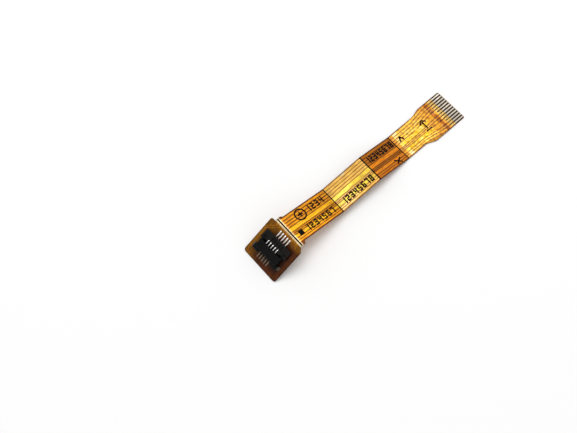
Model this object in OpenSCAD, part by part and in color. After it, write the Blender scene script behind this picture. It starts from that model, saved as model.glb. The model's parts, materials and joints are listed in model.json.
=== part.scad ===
// Flexible printed cable with a staggered-contact ZIF connector soldered to its head pad
// and twelve bare contact fingers at its other end. The cable lies in a shallow zigzag.
// X runs along the cable from the head to the fingers, Z is up. Every layer is drawn flat
// in the frame of its own panel, and the folds between panels are drawn as cylinder sectors.

/* [Panels] */
// Length of the head pad up to the neck corner
head_len = 14.85; // [14.2:0.05:16]
// Length of the first cable panel, from corner to corner
panel_1_len = 18.95; // [16:0.05:22]
// Length of the second cable panel
panel_2_len = 15.8; // [13:0.1:19]
// Length of the third cable panel
panel_3_len = 13.5; // [11:0.1:17]
// Length of the last panel, up to the ends of the fingers
panel_4_len = 24.1; // [23:0.1:28]
// Tilt of the head pad against the ground, in degrees
head_tilt = 33; // [26:0.5:36]
// Tilt of the first panel
panel_1_tilt = -17; // [-20:0.5:-14]
// Tilt of the second panel
panel_2_tilt = 3.5; // [2:0.5:6]
// Radius of the neck bend, on the underside of the film
neck_bend_r = 2; // [1.4:0.1:2.4]
// Radius of the three folds, on the underside of the film
fold_r = 1.2; // [0.8:0.1:2]

/* [Film] */
// Width of the cable
cable_w = 10; // [9.6:0.1:11]
// Thickness of the base film
base_t = 0.05; // [0.025:0.005:0.1]
// Thickness of the copper
copper_t = 0.035; // [0.018:0.001:0.07]
// Thickness of the cover film above the copper
cover_t = 0.05; // [0.025:0.005:0.1]
// Width of the head pad
head_w = 14.2; // [13.8:0.1:16]
// Corner radius at the far end of the head pad
head_far_r = 0.9; // [0.4:0.1:1.4]
// Corner radius at the upper near corner of the head pad
head_near_r = 0.7; // [0.3:0.1:1.1]
// Length of the cut at the lower near corner of the head pad
head_cut = 1.3; // [0.8:0.1:1.8]
// Extra width of the neck on the +Y side
neck_flare_left = 0.5; // [0.2:0.1:0.8]
// Extra width of the neck on the -Y side
neck_flare_right = 0.9; // [0.4:0.1:1.2]
// Length over which the neck narrows to the cable
neck_taper = 0.9; // [0.5:0.1:1.5]

/* [Tip] */
// Extra width of the tip on the +Y side
tip_flare_left = 0.9; // [0.6:0.1:1.2]
// Extra width of the tip on the -Y side
tip_flare_right = 1.4; // [1.1:0.1:1.8]
// Start of the flare on the -Y side, from the last fold
flare_right_start = 7.4; // [6.5:0.1:8.5]
// Start of the flare on the +Y side, from the last fold
flare_left_start = 10.6; // [9.5:0.1:11.5]
// Length of each flare
flare_len = 4.4; // [3.5:0.1:4.9]
// Corner radius at the end of the tip
tip_corner_r = 0.5; // [0.2:0.1:0.8]
// Pitch of the fingers
finger_pitch = 1; // [0.95:0.01:1.02]
// Width of a finger
finger_w = 0.66; // [0.5:0.02:0.76]
// Length of the fingers that the cover film leaves bare
finger_bare = 3.7; // [3:0.1:4.5]
// Length over which a wide track stays whole before it splits into fingers
finger_split = 0.6; // [0.3:0.1:1]
// Length of the fingers under the cover film
finger_hidden = 2.4; // [1.6:0.1:3]
// Distance from the ends of the fingers to the film's edge
finger_setback = 0.15; // [0.05:0.05:0.3]
// Length of the tip stiffener
tip_stiffener_len = 7.4; // [6.6:0.1:8]
// Thickness of the tip stiffener
tip_stiffener_t = 0.2; // [0.1:0.01:0.3]
// Thickness of the head stiffener
head_stiffener_t = 0.3; // [0.2:0.05:0.5]
// Distance from the head stiffener's edge to the pad's edge
head_stiffener_inset = 0.25; // [0.1:0.05:0.5]

/* [Tracks] */
// Gap between neighbouring tracks
track_gap = 0.21; // [0.15:0.01:0.24]
// Width of the tracks that run round the connector
loop_track_w = 0.2; // [0.15:0.01:0.24]
// Pitch of the tracks that run round the connector
loop_pitch = 0.32; // [0.28:0.01:0.34]
// Length over which such a track narrows before it turns
loop_start = 0.25; // [0.2:0.05:0.3]
// Distance from the outermost of these tracks to the pad's side edge
loop_margin = 0.55; // [0.45:0.05:0.7]
// Distance from the outermost of these tracks to the pad's far edge
loop_far_margin = 0.4; // [0.35:0.01:0.45]
// Width of a solder pad
pad_w = 0.56; // [0.45:0.01:0.6]
// Length of a solder pad
pad_len = 2; // [1.8:0.1:2.2]

/* [Connector] */
// Distance from the pad's far edge to the connector's front face
housing_x = 3.2; // [3.15:0.05:3.3]
// Sideways offset of the connector on the pad
housing_y = 0.2; // [0:0.05:0.3]
// Depth of the housing
housing_d = 4.2; // [4.15:0.05:4.3]
// Height of the housing
housing_h = 2; // [1.95:0.05:2.3]
// Width of the housing
housing_w = 9.1; // [8.9:0.1:9.2]
// Length by which the floor and side guides stand out in front of the cover
guide_len = 1.1; // [1:0.05:1.2]
// Thickness of the housing's floor
floor_t = 0.5; // [0.48:0.01:0.52]
// Height of the side guides
guide_h = 1.45; // [1.2:0.05:1.7]
// Width by which each side guide stands out of the housing's side
guide_out = 0.5; // [0.3:0.05:0.6]
// Width of the mouth for the mating film
mouth_w = 5.6; // [5.4:0.1:5.8]
// Height of the mouth
mouth_h = 0.4; // [0.35:0.01:0.42]
// Distance between neighbouring contacts
contact_pitch = 0.5; // [0.48:0.01:0.52]
// Thickness of a contact
contact_t = 0.2; // [0.16:0.01:0.22]
// Thickness of a contact's tail and lower beam
tail_t = 0.18; // [0.14:0.01:0.2]
// Thickness of the solder under a tail
solder_bed = 0.03; // [0.02:0.005:0.05]
// Distance of a contact's column from the housing's rear face
column_back = 1.6; // [1.5:0.05:1.7]
// Width of a contact's column
column_w = 0.6; // [0.5:0.05:0.7]
// Width of a contact's upper beam
beam_w = 0.28; // [0.24:0.01:0.3]
// Clearance on each side of a contact in its slot
contact_clearance = 0.02; // [0.01:0.005:0.04]
// Length of a rear contact's tail on its solder pad
rear_foot = 1.5; // [1.2:0.1:1.6]
// Length of a front contact's tail on its solder pad
front_foot = 0.9; // [0.7:0.05:0.95]
// Reach of the front tails from the housing's front face
front_tail_reach = 1.3; // [1.25:0.05:1.3]
// Reach of the rear tails from the housing's rear face
rear_tail_reach = 5.35; // [5.3:0.05:5.4]
// Length of the solder at a tail's tip
solder_toe = 0.4; // [0.3:0.05:0.4]

/* [Locking lever] */
// Distance of the lever's axis behind the housing's rear face
axis_back = 0.75; // [0.7:0.01:0.8]
// Height of the lever's axis above the film
axis_h = 1.05; // [1.02:0.01:1.1]
// Radius of the lever's shaft
shaft_r = 0.35; // [0.3:0.01:0.36]
// Radial clearance between the shaft and its bearings
shaft_clearance = 0.05; // [0.03:0.01:0.08]
// Reach of the lever from its axis to its free edge
lever_reach = 2.7; // [2.5:0.05:2.75]
// Thickness of the lever
lever_t = 0.7; // [0.6:0.05:0.75]
// Depth of the bar along the lever's free edge
lever_bar = 0.5; // [0.4:0.05:0.7]
// Width of each bearing arm
arm_w = 0.6; // [0.5:0.05:0.7]
// Width of each end of the lever outside its bearing arm
lever_end_w = 0.6; // [0.4:0.05:0.7]
// Sideways clearance between the lever and a bearing arm
lever_side_gap = 0.1; // [0.06:0.01:0.14]
// Angle of the lever, 0 is closed
lever_angle = 0; // [0:5:90]

/* [Hidden] */
$fn = 48;

contact_count = 10;
// Widths of the ten tracks, from the +Y edge to the -Y edge, as shares of the cable's width
track_w = cable_w * [0.08, 0.075, 0.075, 0.075, 0.135, 0.037, 0.037, 0.1, 0.058, 0.058];
// Number of fingers that each track feeds
track_fingers = [1, 1, 1, 1, 2, 1, 1, 2, 1, 1];

function sum(list, n) = n == 0 ? 0 : list[n - 1] + sum(list, n - 1);
finger_count = sum(track_fingers, contact_count);
track_span = sum(track_w, contact_count) + (contact_count - 1) * track_gap;
track_margin = (cable_w - track_span) / 2;
function track_y(i) = cable_w / 2 - track_margin - sum(track_w, i) - i * track_gap - track_w[i] / 2;

// Height of each layer above the underside of the base film
copper_z = base_t;
cover_z = copper_z + copper_t;
film_z = cover_z + cover_t;

// The path of the film's underside. The third panel's tilt brings the last one down flat
// on its stiffener, while the head rests on the far edge of its own stiffener.
rest_z = head_stiffener_t * cos(head_tilt) - head_stiffener_inset * sin(head_tilt);
peak_z = rest_z + head_len * sin(head_tilt) + panel_1_len * sin(panel_1_tilt)
    + panel_2_len * sin(panel_2_tilt);
panel_3_tilt = -asin((peak_z - tip_stiffener_t) / panel_3_len);
panel_len = [head_len, panel_1_len, panel_2_len, panel_3_len, panel_4_len];
panel_tilt = [head_tilt, panel_1_tilt, panel_2_tilt, panel_3_tilt, 0];
bend_r = [0, neck_bend_r, fold_r, fold_r, fold_r, 0];
last = len(panel_len) - 1;

function corner(k) = k == 0 ? [0, rest_z]
    : corner(k - 1) + panel_len[k - 1] * [cos(panel_tilt[k - 1]), sin(panel_tilt[k - 1])];
function turn(k) = panel_tilt[k] - panel_tilt[k - 1];
function tangent(k) = k == 0 || k > last ? 0 : bend_r[k] * tan(abs(turn(k)) / 2);
function panel_start(k) = tangent(k);
function panel_end(k) = panel_len[k] - tangent(k + 1);
far_x = min(0, -film_z * sin(head_tilt));
length_x = corner(last + 1).x - far_x;
// A height above every point of the film
peak_height = corner(1).y + 3;

function heading(k) = [cos(panel_tilt[k]), sin(panel_tilt[k])];
function normal(k) = [-sin(panel_tilt[k]), cos(panel_tilt[k])];

// The path of the layer boundary at height z, as X-Z points with round bends
bend_steps = 8;
function bend_points(k, z) =
    let (
        convex = turn(k) < 0,
        side = convex ? 1 : -1,
        centre = corner(k - 1) + panel_end(k - 1) * heading(k - 1) - side * bend_r[k] * normal(k - 1),
        a = panel_tilt[k - 1] + side * 90)
    arc(centre, bend_r[k] + side * z, a, a + turn(k), bend_steps);
function path(z) = concat(
    [corner(0) + z * normal(0)],
    [for (k = [1 : last]) each bend_points(k, z)],
    [corner(last + 1) + z * normal(last)]);

// Moves what is drawn along the path to the part's own frame
module in_frame() translate([-far_x - length_x / 2, 0, 0]) children();
// Places children from the frame of panel k, whose X runs along the panel
module on_panel(k)
    in_frame() translate([corner(k).x, 0, corner(k).y]) rotate([0, -panel_tilt[k], 0]) children();
// Extrudes an X-Z profile along Y, centred on y
module slab_y(y, w) translate([0, y + w / 2, 0]) rotate([90, 0, 0]) linear_extrude(w) children();
// A full-width sheet that follows the path between heights z0 and z1
sheet_w = head_w + 2;
module sheet(z0, z1) in_frame() slab_y(0, sheet_w) polygon(concat(path(z1), reverse(path(z0))));
// A tall prism across a sheet, for cuts square to panel k
prism_h = 1.6;
module across(k) on_panel(k) translate([0, 0, -prism_h / 2]) linear_extrude(prism_h) children();

// Outline helpers
function arc(c, r, a0, a1, n = 6) = [for (i = [0 : n]) c + r * [cos(a0 + (a1 - a0) * i / n), sin(a0 + (a1 - a0) * i / n)]];
function ease(t) = t <= 0 ? 0 : t >= 1 ? 1 : t * t * (3 - 2 * t);
function reverse(list) = [for (i = [len(list) - 1 : -1 : 0]) list[i]];
function unit(v) = v / norm(v);
function left_of(v) = [-v.y, v.x];

// The side of a ribbon round a chain of points with a width at each, mitred at each turn
function side(p, w, sign) = [for (i = [0 : len(p) - 1])
    let (
        before = unit(i == 0 ? p[1] - p[0] : p[i] - p[i - 1]),
        after = i == len(p) - 1 ? before : unit(p[i + 1] - p[i]),
        miter = unit(left_of(before) + left_of(after)),
        stretch = 1 / (miter * left_of(after)))
    p[i] + sign * w[i] / 2 * stretch * miter];
module tapered_ribbon(p, w) polygon(concat(side(p, w, 1), reverse(side(p, w, -1))));
module ribbon(p, w) tapered_ribbon(p, [for (q = p) w]);
module bar_between(x0, x1, y0, y1) translate([x0, y0]) square([x1 - x0, y1 - y0]);

// Head pad and neck. Each cut stops this far short of a seam, so that no two share a plane.
seam_step = 0.02;
pad_end = panel_end(0);
pad_edge = pad_end - seam_step;
module head_outline(inset = 0) {
    h = head_w / 2 - inset;
    f = max(head_far_r - inset, 0.1);
    n = max(head_near_r - inset, 0.1);
    e = pad_edge - inset;
    polygon(concat(
        arc([inset + f, h - f], f, 180, 90),
        arc([e - n, h - n], n, 90, 0),
        [[e, -h + head_cut * 0.8], [e - head_cut, -h]],
        arc([inset + f, -h + f], f, 270, 180)));
}
neck_left = cable_w / 2 + neck_flare_left;
neck_right = -cable_w / 2 - neck_flare_right;
module neck_outline()
    let (x = panel_start(1))
    polygon(concat(
        flare(x, x + neck_taper, neck_left, cable_w / 2 + seam_step, 6),
        [[x + 3 * neck_taper, cable_w / 2 + seam_step], [x + 3 * neck_taper, -cable_w / 2 - seam_step]],
        reverse(flare(x, x + neck_taper, neck_right, -cable_w / 2 - seam_step, 6))));

// Tip, drawn on the last panel
tip_left = cable_w / 2 + tip_flare_left;
tip_right = -cable_w / 2 - tip_flare_right;
tip_y = (tip_left + tip_right) / 2;
fan_start = flare_right_start;
fan_end = panel_4_len - finger_bare - finger_hidden;
bare_x = panel_4_len - finger_bare;
function finger_y(n) = tip_y + (finger_count - 1) / 2 * finger_pitch - n * finger_pitch;
function flare(x0, x1, y0, y1, n = 10) = [for (i = [0 : n]) [x0 + (x1 - x0) * i / n, y0 + (y1 - y0) * ease(i / n)]];
module tip_outline()
    polygon(concat(
        [[panel_start(last) - 1, cable_w / 2]],
        flare(flare_left_start, flare_left_start + flare_len, cable_w / 2, tip_left),
        arc([panel_4_len - tip_corner_r, tip_left - tip_corner_r], tip_corner_r, 90, 0),
        arc([panel_4_len - tip_corner_r, tip_right + tip_corner_r], tip_corner_r, 0, -90),
        reverse(flare(flare_right_start, flare_right_start + flare_len, -cable_w / 2, tip_right)),
        [[panel_start(last) - 1, -cable_w / 2]]));

// Everything beside the film's outline
module outside() {
    wide = sheet_w + 1;
    overlap = 0.5;
    neck_end = panel_start(1) + neck_taper;
    across(0) difference() {
        bar_between(-1, pad_edge + overlap, -wide, wide);
        head_outline();
        bar_between(pad_edge - overlap, pad_edge + 2 * overlap, neck_right, neck_left);
    }
    // The neck bend
    for (s = [-1, 1])
        on_panel(0) translate([pad_edge + overlap / 2, s > 0 ? neck_left : neck_right - wide, -prism_h])
            cube([bend_r[1], wide, prism_h + 1]);
    across(1) difference() {
        bar_between(panel_start(1), neck_end + 2 * overlap, -wide, wide);
        neck_outline();
    }
    x0 = corner(1).x + (neck_end + overlap) * heading(1).x;
    x1 = corner(last).x + panel_start(last) + overlap;
    in_frame() for (s = [-1, 1])
        translate([x0, s > 0 ? cable_w / 2 : -cable_w / 2 - wide, -1]) cube([x1 - x0, wide, peak_height]);
    across(last) difference() {
        bar_between(panel_start(last), panel_4_len + 1, -wide, wide);
        tip_outline();
    }
}
// One whole layer of the film
module film_layer(z0, z1) difference() {
    sheet(z0, z1);
    outside();
}

module base_film() color("darkgoldenrod") film_layer(0, base_t);
// The cover film ends before the bare fingers and has a window over each solder pad
module bare_end() across(last) bar_between(bare_x, panel_4_len + 1, -head_w, head_w);
module cover_film() color("orange") difference() {
    film_layer(cover_z, film_z);
    bare_end();
    across(0) pad_windows();
}

// The drawn stretches of a track overlap by this length, one a little narrower than the other
track_overlap = 0.4;
track_step = 0.01;

// Head tracks. Two run round the +Y side of the connector and three round the -Y side to the
// front tails. The five in the middle run straight to the rear tails.
track_contact = [2, 0, 1, 3, 5, 7, 9, 8, 6, 4];
function loop_side(i) = i < 2 ? 1 : i > 6 ? -1 : 0;
function loop_rank(i) = i < 2 ? i : contact_count - 1 - i;
function contact_y(i) = housing_y + ((contact_count - 1) / 2 - i) * contact_pitch;
function is_front(i) = i % 2 == 0;

housing_back = housing_x + housing_d;
front_tip = housing_x - front_tail_reach;
rear_tip = housing_back + rear_tail_reach;
front_pad_x = front_tip - solder_toe;
rear_pad_x = rear_tip + solder_toe - pad_len;
function pad_x(i) = is_front(i) ? front_pad_x : rear_pad_x;
function tail_foot(i) = is_front(i) ? front_foot : rear_foot;

module pad_shape(i, inset = 0)
    let (y = contact_y(i), h = pad_w / 2 - inset)
    bar_between(pad_x(i) + inset, pad_x(i) + pad_len - inset, y - h, y + h);
module head_track(i) {
    c = track_contact[i];
    s = loop_side(i);
    y = track_y(i);
    w = track_w[i];
    pad_y = contact_y(c);
    x_end = pad_end + track_overlap;
    if (s == 0) {
        x0 = rear_pad_x + pad_len;
        x1 = pad_end - track_overlap;
        polygon(concat(
            [[rear_pad_x, pad_y + pad_w / 2]], flare(x0, x1, pad_y + pad_w / 2, y + w / 2, 6),
            [[x_end, y + w / 2 - track_step], [x_end, y - w / 2 + track_step]],
            reverse(flare(x0, x1, pad_y - pad_w / 2, y - w / 2, 6)), [[rear_pad_x, pad_y - pad_w / 2]]));
    } else {
        bevel = 0.5;
        x = pad_end - track_overlap - loop_start;
        edge = s * (head_w / 2 - loop_margin - loop_rank(i) * loop_pitch);
        far = loop_far_margin + loop_rank(i) * loop_pitch;
        l = loop_track_w;
        tapered_ribbon(
            [[x_end, y], [x + loop_start, y], [x, y], [x - abs(edge - y), edge], [far + bevel, edge],
             [far, edge - s * bevel], [far, pad_y + s * loop_start], [far + loop_start, pad_y],
             [front_pad_x - 0.02, pad_y], [front_pad_x, pad_y], [front_pad_x + pad_len, pad_y]],
            [w - 2 * track_step, w, l, l, l, l, l, l, l, pad_w, pad_w]);
    }
}

// Fingers: each track fans out over the flare and ends in one or two fingers
function first_finger(i) = sum(track_fingers, i);
module tip_track(i) {
    n = first_finger(i);
    m = n + track_fingers[i] - 1;
    y0 = track_y(i) - track_w[i] / 2;
    y1 = track_y(i) + track_w[i] / 2;
    end = panel_4_len - finger_setback;
    split = fan_end + finger_split;
    h = finger_w / 2;
    polygon(concat(
        [[panel_start(last) + track_overlap, y1 - track_step]], flare(fan_start, fan_end, y1, finger_y(n) + h),
        [[end, finger_y(n) + h]],
        [for (f = [n : 1 : m - 1]) each [[end, finger_y(f) - h], [split, finger_y(f) - h],
                                         [split, finger_y(f + 1) + h], [end, finger_y(f + 1) + h]]],
        [[end, finger_y(m) - h]],
        reverse(flare(fan_start, fan_end, y0, finger_y(m) - h)),
        [[panel_start(last) + track_overlap, y0 + track_step]]));
}

// The space that a track takes, taller than its layer
module track_space(i) {
    x0 = corner(0).x + (pad_end - track_overlap / 2) * heading(0).x;
    x1 = corner(last).x + panel_start(last) + 2 * track_overlap;
    across(0) head_track(i);
    in_frame() translate([x0, track_y(i) - track_w[i] / 2, -1]) cube([x1 - x0, track_w[i], peak_height]);
    across(last) tip_track(i);
}
module conductor(i) color("peru") intersection() {
    sheet(copper_z, cover_z);
    track_space(i);
}

// The adhesive fills what the tracks leave between the two films
module adhesive_film() color("goldenrod") difference() {
    film_layer(copper_z, cover_z);
    bare_end();
    for (i = [0 : contact_count - 1]) track_space(i);
}
module head_stiffener() color("saddlebrown")
    on_panel(0) translate([0, 0, -head_stiffener_t])
        linear_extrude(head_stiffener_t) head_outline(head_stiffener_inset);
module tip_stiffener() color("chocolate")
    on_panel(last) translate([0, 0, -tip_stiffener_t])
        linear_extrude(tip_stiffener_t) intersection() {
            tip_outline();
            bar_between(panel_4_len - tip_stiffener_len, panel_4_len, -head_w, head_w);
        }

// Connector. Its modules are drawn on the head pad, with z = 0 on top of the cover film.
module on_head() on_panel(0) translate([0, 0, film_z]) children();

axis_x = housing_back + axis_back;
bore_r = shaft_r + shaft_clearance;
half_w = housing_w / 2;
arm_r = bore_r + 0.2;
beam_low = 0.12;
mouth_z = floor_t + 0.05;
slot_top = housing_h - 0.2;
hook_r = bore_r + beam_w / 2;
column_x = housing_back - column_back;
upper_z = axis_h + hook_r;
copper_top = cover_z - film_z;
foot_z = copper_top + solder_bed;
low_z = beam_low + tail_t / 2;
module connector_housing() color("black") on_head() difference() {
    union() {
        slab_y(housing_y, housing_w)
            polygon([[housing_x, 0], [housing_back, 0], [housing_back, housing_h],
                     [housing_x + guide_len + 0.25, housing_h], [housing_x + guide_len, housing_h - 0.25],
                     [housing_x + guide_len, floor_t], [housing_x, floor_t]]);
        for (s = [-1, 1]) {
            w = half_w + guide_out - mouth_w / 2 - 0.1;
            slab_y(housing_y + s * (mouth_w / 2 + 0.1 + w / 2), w)
                polygon([[housing_x, 0], [housing_x + guide_len + 0.2, 0],
                         [housing_x + guide_len + 0.2, guide_h], [housing_x + 0.3, guide_h],
                         [housing_x, guide_h - 0.3]]);
            slab_y(housing_y + s * (half_w - arm_w / 2), arm_w)
                bar_between(housing_back - 0.1, axis_x, axis_h - arm_r, axis_h + arm_r);
            slab_y(housing_y + s * (half_w - arm_w / 2), arm_w) translate([axis_x, axis_h]) circle(arm_r);
        }
        // Sill under the lever
        slab_y(housing_y, housing_w) bar_between(housing_back - 0.1, housing_back + sill_len, 0, sill_t);
    }
    // Mouth
    translate([housing_x - 1, housing_y - mouth_w / 2, mouth_z])
        cube([column_x - housing_x + 0.9, mouth_w, mouth_h]);
    // Contact slots
    slot_w = contact_t + 2 * contact_clearance;
    for (i = [0 : contact_count - 1]) {
        slab_y(contact_y(i), slot_w) contact_slot(i);
        slab_y(contact_y(i), slot_w)
            bar_between(housing_x + guide_len - 0.1, housing_back + 1, mouth_z, slot_top);
    }
    // Bearings
    translate([axis_x, housing_y, axis_h]) rotate([90, 0, 0])
        cylinder(r = bore_r, h = housing_w + 1, center = true);
}
slot_floor = beam_low - 0.02;
sill_len = 1.9;
sill_t = 0.34;
module contact_slot(i) {
    front = is_front(i) ? housing_x - 1 : housing_x + guide_len - 0.3;
    back = is_front(i) ? housing_back - 0.3 : housing_back + sill_len + 1;
    bar_between(front, back, slot_floor, mouth_z + 0.05);
}

module contact(i) color("silver") on_head() {
    tip_x = housing_x + guide_len + 0.2;
    bump = mouth_z + mouth_h - 0.02 + beam_w / 2;
    foot = foot_z + tail_t / 2;
    column_end = column_x + column_w;
    y = contact_y(i);
    tail = is_front(i)
        ? [[front_tip, foot], [front_tip + front_foot, foot], [housing_x - 0.1, low_z], [column_end, low_z]]
        : [[rear_tip, foot], [rear_tip - rear_foot, foot], [rear_tip - rear_foot - 0.4, low_z], [tip_x, low_z]];
    slab_y(y, contact_t) ribbon(tail, tail_t);
    slab_y(y, contact_t) bar_between(column_x, column_end, low_z, upper_z);
    // Upper beam, with the contact point at its front end. A front contact's upper beam runs on
    // and hooks over the lever's shaft.
    slab_y(y, contact_t) ribbon(concat(
        [[tip_x, bump + 0.15], [tip_x + 0.35, bump], [tip_x + 0.9, upper_z - 0.05], [column_x, upper_z]],
        is_front(i) ? arc([axis_x, axis_h], hook_r, 90, 10, 8) : [[housing_back - 0.1, upper_z]]), beam_w);
}

// Locking lever, drawn closed and turned about its shaft. Its plate has a notch for the hook of
// each front contact and a window over each rear contact.
lever_root = arm_r + 0.1;
hook_notch = hook_r + beam_w / 2 + 0.07;
module locking_lever() color("dimgray") on_head()
    translate([axis_x, housing_y, axis_h]) rotate([0, -lever_angle, 0]) {
        inner = half_w - arm_w - lever_side_gap;
        outer = half_w + lever_side_gap + lever_end_w;
        low = -lever_t + 0.1;
        rotate([90, 0, 0]) cylinder(r = shaft_r, h = 2 * outer, center = true);
        difference() {
            union() {
                slab_y(0, 2 * inner) bar_between(0, lever_root + 0.1, low, 0.1);
                slab_y(0, 2 * outer)
                    polygon([[lever_root, low], [lever_reach, low + 0.15], [lever_reach, -0.05],
                             [lever_reach - 0.15, 0.1], [lever_root, 0.1]]);
            }
            for (i = [0 : contact_count - 1])
                slab_y(contact_y(i) - housing_y, contact_t + 0.1)
                    bar_between(is_front(i) ? -1 : hook_notch + 0.15,
                                is_front(i) ? hook_notch : lever_reach - lever_bar, low - 1, 1);
        }
        for (s = [-1, 1]) {
            slab_y(s * (outer - lever_end_w / 2), lever_end_w) circle(shaft_r + 0.3);
            slab_y(s * (outer - lever_end_w / 2), lever_end_w) bar_between(0, lever_root + 0.1, low, 0.1);
        }
    }

// Hold-down tabs stand against the outer faces of the side guides
anchor_w = 0.8;
anchor_t = 0.2;
anchor_len = 1.3;
module anchor_foot(s)
    let (y0 = housing_y + s * (half_w + guide_out), y1 = y0 + s * anchor_w)
    bar_between(housing_x + 0.2, housing_x + 0.2 + anchor_len, min(y0, y1), max(y0, y1));
module anchor_pads() for (s = [-1, 1]) anchor_foot(s);
module hold_down(s) color("silver") on_head() {
    y = housing_y + s * (half_w + guide_out);
    translate([0, 0, copper_top]) linear_extrude(anchor_t - copper_top) anchor_foot(s);
    slab_y(y + s * anchor_t / 2, anchor_t)
        bar_between(housing_x + 0.2, housing_x + 0.2 + anchor_len, copper_top, guide_h - 0.3);
}

// Solder joint: a thin bed under the foot and a wedge at the tail's tip
module solder(i) color("gainsboro") on_head() {
    d = is_front(i) ? -1 : 1;
    tip = is_front(i) ? front_tip : rear_tip;
    slab_y(contact_y(i), contact_t + 0.16)
        polygon([[tip - d * tail_foot(i), copper_top], [tip + d * (solder_toe - 0.05), copper_top],
                 [tip + d * (solder_toe - 0.05), copper_top + solder_bed / 2],
                 [tip, foot_z + tail_t * 0.8], [tip, foot_z], [tip - d * tail_foot(i), foot_z]]);
}

module pad_windows() {
    for (i = [0 : contact_count - 1]) pad_shape(i, 0.04);
    anchor_pads();
}

base_film();
adhesive_film();
cover_film();
head_stiffener();
tip_stiffener();
connector_housing();
locking_lever();
hold_down(1);  // hold_down_left
hold_down(-1);  // hold_down_right
for (i = [0 : contact_count - 1]) {
    number = str(i < 9 ? "0" : "", i + 1);
    conductor(i);
    contact(i);
    solder(i);
}
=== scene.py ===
"""Looks of a flexible printed cable: amber films over copper tracks, a connector with a locking
lever on the head pad, and tinned fingers at the other end."""
import functools
import json
import math

import bmesh
import bpy
import numpy as np
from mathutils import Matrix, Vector

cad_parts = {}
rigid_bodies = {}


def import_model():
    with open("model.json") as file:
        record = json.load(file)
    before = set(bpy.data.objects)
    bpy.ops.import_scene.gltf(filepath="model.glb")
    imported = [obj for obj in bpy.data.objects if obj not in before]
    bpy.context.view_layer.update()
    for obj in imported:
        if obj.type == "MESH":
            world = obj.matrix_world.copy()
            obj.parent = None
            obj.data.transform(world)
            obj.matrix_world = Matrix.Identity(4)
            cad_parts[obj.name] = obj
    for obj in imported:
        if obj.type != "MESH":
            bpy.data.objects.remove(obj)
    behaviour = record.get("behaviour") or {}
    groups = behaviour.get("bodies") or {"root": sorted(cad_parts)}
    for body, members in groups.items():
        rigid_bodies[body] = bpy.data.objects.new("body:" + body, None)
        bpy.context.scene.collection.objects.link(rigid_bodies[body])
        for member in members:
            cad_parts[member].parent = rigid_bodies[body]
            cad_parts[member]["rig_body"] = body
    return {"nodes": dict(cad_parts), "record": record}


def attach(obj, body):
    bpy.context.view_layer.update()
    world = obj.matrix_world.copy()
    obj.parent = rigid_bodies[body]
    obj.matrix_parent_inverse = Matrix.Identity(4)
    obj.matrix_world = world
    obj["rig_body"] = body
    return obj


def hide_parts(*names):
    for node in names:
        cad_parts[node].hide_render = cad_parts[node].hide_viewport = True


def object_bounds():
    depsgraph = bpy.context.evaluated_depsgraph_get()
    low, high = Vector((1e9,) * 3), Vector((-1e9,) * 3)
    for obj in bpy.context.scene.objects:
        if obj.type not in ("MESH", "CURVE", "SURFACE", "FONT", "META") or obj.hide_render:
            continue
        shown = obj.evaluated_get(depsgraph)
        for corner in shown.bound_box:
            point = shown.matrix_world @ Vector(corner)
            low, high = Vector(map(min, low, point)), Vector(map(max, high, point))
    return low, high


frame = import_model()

bl_info = {
    "name": "Flexible Printed Cable",
    "version": (1, 0, 0),
    "blender": (4, 5, 0),
    "location": "3D View > Sidebar > Cable",
    "description": "Dresses the packed cable with films, tracks, contacts and marks",
    "category": "Object",
}

MM = 0.001
CAD_BOX = [[float(x) for x in corner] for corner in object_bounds()]

# Sizes in millimetres. The tracks are listed from the +Y edge to the -Y edge.
COUNT = 10  # contacts and tracks
TRACK_W = 10 * np.array([0.08, 0.075, 0.075, 0.075, 0.135, 0.037, 0.037, 0.1, 0.058, 0.058])
TRACK_FINGERS = np.array([1, 1, 1, 1, 2, 1, 1, 2, 1, 1])
TRACK_CONTACT = [2, 0, 1, 3, 5, 7, 9, 8, 6, 4]
STRAIGHT = range(2, 7)  # tracks that run straight to the rear tails
LOOPED = (0, 1, 7, 8, 9)  # tracks that run round the connector to the front
SUPPLY = (4, 7)  # wide tracks with two fingers each
SUPPLY_HALF = 0.83  # half width of two fingers with the gap between them
FINGER_HALF, PAD_HALF = 0.33, 0.28
WINDOW_HALF, WINDOW_RIM = 0.24, 0.04  # opening of the cover film over a solder pad
HEAD_PLATE_T, HEAD_PLATE_INSET, TIP_PLATE_T = 0.3, 0.25, 0.2
HEAD_FAR_R, HEAD_NEAR_R, HEAD_CUT, CUT_SLOPE = 0.9, 0.7, 1.3, 0.8
NECK_FLARE, NECK_TAPER = (0.5, 0.9), 0.9  # extra width on the +Y and -Y side, and its length
TIP_FLARE, FLARE_START, FLARE_LEN, TIP_R = (0.9, 1.4), (10.6, 7.4), 4.4, 0.5
LOOP_EDGE, LOOP_STEP, LOOP_W = 0.55, 0.32, 0.2
SHEET_GAP = 0.004  # height of ink and solder above what they lie on

# Shares of the film's colours on panels 1 to 4: over a narrow track, over a wide one and over a
# gap, and how much lighter the strip by the -Y edge is. The differences from panel to panel are
# partly the film's colour and partly painted shade and highlight, for how light falls on each tilt.
PANEL_SHARES = (((0.97, 0.98, 0.9), (1, 0.97, 0.8), (2.0, 1.5, 0.8), 1.25),
                ((0.60, 0.90, 4.6), (0.54, 0.74, 1.6), (3.4, 4.2, 2.6), 1.2),
                ((0.50, 0.38, 0.3), (0.74, 0.44, 0.35), (1.6, 1.4, 0.8), 1.5),
                ((0.86, 1.25, 4.0), (0.72, 0.80, 0.8), (3.8, 4.2, 2.0), 1.1))
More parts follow.
